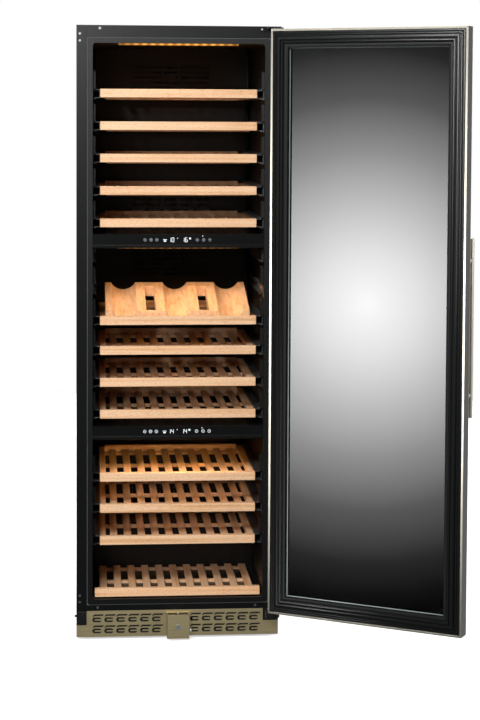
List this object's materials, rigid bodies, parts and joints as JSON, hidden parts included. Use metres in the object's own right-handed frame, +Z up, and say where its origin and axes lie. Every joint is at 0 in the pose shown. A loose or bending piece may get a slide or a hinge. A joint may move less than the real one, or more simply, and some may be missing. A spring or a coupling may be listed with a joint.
{
  "type": "wine cooler",
  "caption": "Tall three-zone wine cooler with a framed glass door, sliding wooden shelves, a display rack, control strips and a lockable plinth.",
  "frame": {"origin": "on the floor, at the centre of the cabinet's footprint (the door and handle are not counted)", "axes": "+X to the viewer's right, +Y to the back, +Z up; the front faces -Y"},
  "size_m": [1.1179, 0.9875, 1.8],
  "materials": {
    "casing_steel": "black powder-coated sheet",
    "galvanised_sheet": "galvanised sheet",
    "insulation": "rigid polyurethane foam",
    "liner_plastic": "black vacuum-formed liner",
    "panel_plastic": "black moulded plastic",
    "light_cover": "amber light cover",
    "coil_aluminium": "plain fins and tubes",
    "black_paint": "satin black",
    "runner_steel": "black zinc-plated steel",
    "beech": "sanded beech",
    "stainless": "brushed stainless steel",
    "lock_chrome": "nickel-plated",
    "roller_plastic": "moulded nylon",
    "fan_plastic": "moulded plastic",
    "door_plastic": "black moulded frame",
    "tinted_glass": "grey-tinted, coated",
    "gasket_rubber": "black magnetic seal"
  },
  "bodies": {
    "cabinet": {"outer_casing": "casing_steel", "back_panel": "galvanised_sheet", "base_plate": "galvanised_sheet", "foam_insulation": "insulation", "inner_liner": "liner_plastic", "zone_dividers": "liner_plastic", "control_panels": "panel_plastic", "light_bars": "light_cover", "evaporator_covers": "liner_plastic", "evaporator_coils": "coil_aluminium", "compressor": "black_paint", "condenser": "coil_aluminium", "power_inlet": "panel_plastic", "fixed_runners": "runner_steel", "bottom_shelf": "beech", "kick_plate": "stainless", "lock_cover": "stainless", "hinge_brackets": "black_paint", "hinge_cover": "panel_plastic", "cabinet_screws": "lock_chrome"},
    "door": {"door_inner_frame": "door_plastic", "door_steel_trim": "stainless", "door_glass": "tinted_glass", "door_gasket": "gasket_rubber", "door_handle": "stainless"},
    "shelf_01": {"shelf_01": "beech", "runners_01": "runner_steel"},
    "shelf_02": {"shelf_02": "beech", "runners_02": "runner_steel"},
    "shelf_03": {"shelf_03": "beech", "runners_03": "runner_steel"},
    "shelf_04": {"shelf_04": "beech", "runners_04": "runner_steel"},
    "shelf_05": {"shelf_05": "beech", "runners_05": "runner_steel"},
    "shelf_06": {"shelf_06": "beech", "runners_06": "runner_steel"},
    "shelf_07": {"shelf_07": "beech", "runners_07": "runner_steel"},
    "shelf_08": {"shelf_08": "beech", "runners_08": "runner_steel"},
    "shelf_09": {"shelf_09": "beech", "runners_09": "runner_steel"},
    "shelf_10": {"shelf_10": "beech", "runners_10": "runner_steel"},
    "shelf_11": {"shelf_11": "beech", "runners_11": "runner_steel"},
    "shelf_12": {"shelf_12": "beech", "runners_12": "runner_steel"},
    "lock_cylinder": {"lock_cylinder": "lock_chrome"},
    "lock_bolt": {"lock_bolt": "lock_chrome"},
    "fan_upper": {"fan_upper": "fan_plastic"},
    "fan_middle": {"fan_middle": "fan_plastic"},
    "fan_lower": {"fan_lower": "fan_plastic"},
    "condenser_fan": {"condenser_fan": "fan_plastic"},
    "foot_left": {"foot_left": "roller_plastic"},
    "foot_right": {"foot_right": "roller_plastic"},
    "rear_rollers": {"rear_rollers": "roller_plastic"}
  },
  "joints": [
    {"name": "door_hinge", "type": "hinge", "parent": "cabinet", "child": "door", "pos_m": [0.2855, -0.3541, 0.9], "axis": [0, 0, 1], "range_deg": [-150, 0]},
    {"name": "shelf_01_slide", "type": "slide", "parent": "cabinet", "child": "shelf_01", "axis": [0, -1, 0], "range_m": [0, 0.3]},
    {"name": "shelf_02_slide", "type": "slide", "parent": "cabinet", "child": "shelf_02", "axis": [0, -1, 0], "range_m": [0, 0.3]},
    {"name": "shelf_03_slide", "type": "slide", "parent": "cabinet", "child": "shelf_03", "axis": [0, -1, 0], "range_m": [0, 0.3]},
    {"name": "shelf_04_slide", "type": "slide", "parent": "cabinet", "child": "shelf_04", "axis": [0, -1, 0], "range_m": [0, 0.3]},
    {"name": "shelf_05_slide", "type": "slide", "parent": "cabinet", "child": "shelf_05", "axis": [0, -1, 0], "range_m": [0, 0.3]},
    {"name": "shelf_06_slide", "type": "slide", "parent": "cabinet", "child": "shelf_06", "axis": [0, -1, 0], "range_m": [0, 0.3]},
    {"name": "shelf_07_slide", "type": "slide", "parent": "cabinet", "child": "shelf_07", "axis": [0, -1, 0], "range_m": [0, 0.3]},
    {"name": "shelf_08_slide", "type": "slide", "parent": "cabinet", "child": "shelf_08", "axis": [0, -1, 0], "range_m": [0, 0.3]},
    {"name": "shelf_09_slide", "type": "slide", "parent": "cabinet", "child": "shelf_09", "axis": [0, -1, 0], "range_m": [0, 0.3]},
    {"name": "shelf_10_slide", "type": "slide", "parent": "cabinet", "child": "shelf_10", "axis": [0, -1, 0], "range_m": [0, 0.3]},
    {"name": "shelf_11_slide", "type": "slide", "parent": "cabinet", "child": "shelf_11", "axis": [0, -1, 0], "range_m": [0, 0.3]},
    {"name": "shelf_12_slide", "type": "slide", "parent": "cabinet", "child": "shelf_12", "axis": [0, -1, 0], "range_m": [0, 0.3]},
    {"name": "lock_turn", "type": "hinge", "parent": "cabinet", "child": "lock_cylinder", "pos_m": [0, -0.3425, 0.043], "axis": [0, 1, 0], "range_deg": [0, 90]},
    {"name": "lock_bolt_slide", "type": "slide", "parent": "cabinet", "child": "lock_bolt", "axis": [0, 0, 1], "range_m": [0, 0.01]},
    {"name": "fan_upper_spin", "type": "hinge", "parent": "cabinet", "child": "fan_upper", "pos_m": [0, 0.234, 1.659], "axis": [0, 1, 0], "continuous": true},
    {"name": "fan_middle_spin", "type": "hinge", "parent": "cabinet", "child": "fan_middle", "pos_m": [0, 0.234, 1.064], "axis": [0, 1, 0], "continuous": true},
    {"name": "fan_lower_spin", "type": "hinge", "parent": "cabinet", "child": "fan_lower", "pos_m": [0, 0.234, 0.503], "axis": [0, 1, 0], "continuous": true},
    {"name": "condenser_fan_spin", "type": "hinge", "parent": "cabinet", "child": "condenser_fan", "pos_m": [-0.13, 0.185, 0.124], "axis": [0, 1, 0], "continuous": true},
    {"name": "foot_left_height", "type": "slide", "parent": "cabinet", "child": "foot_left", "axis": [0, 0, -1], "range_m": [0, 0.02]},
    {"name": "foot_right_height", "type": "slide", "parent": "cabinet", "child": "foot_right", "axis": [0, 0, -1], "range_m": [0, 0.02]},
    {"name": "rear_rollers_spin", "type": "hinge", "parent": "cabinet", "child": "rear_rollers", "pos_m": [0, 0.2625, 0.013], "axis": [1, 0, 0], "continuous": true}
  ],
  "couplings": [
    {"joint": "lock_turn", "follows": "lock_bolt_slide", "rad_per_m": 157}
  ]
}
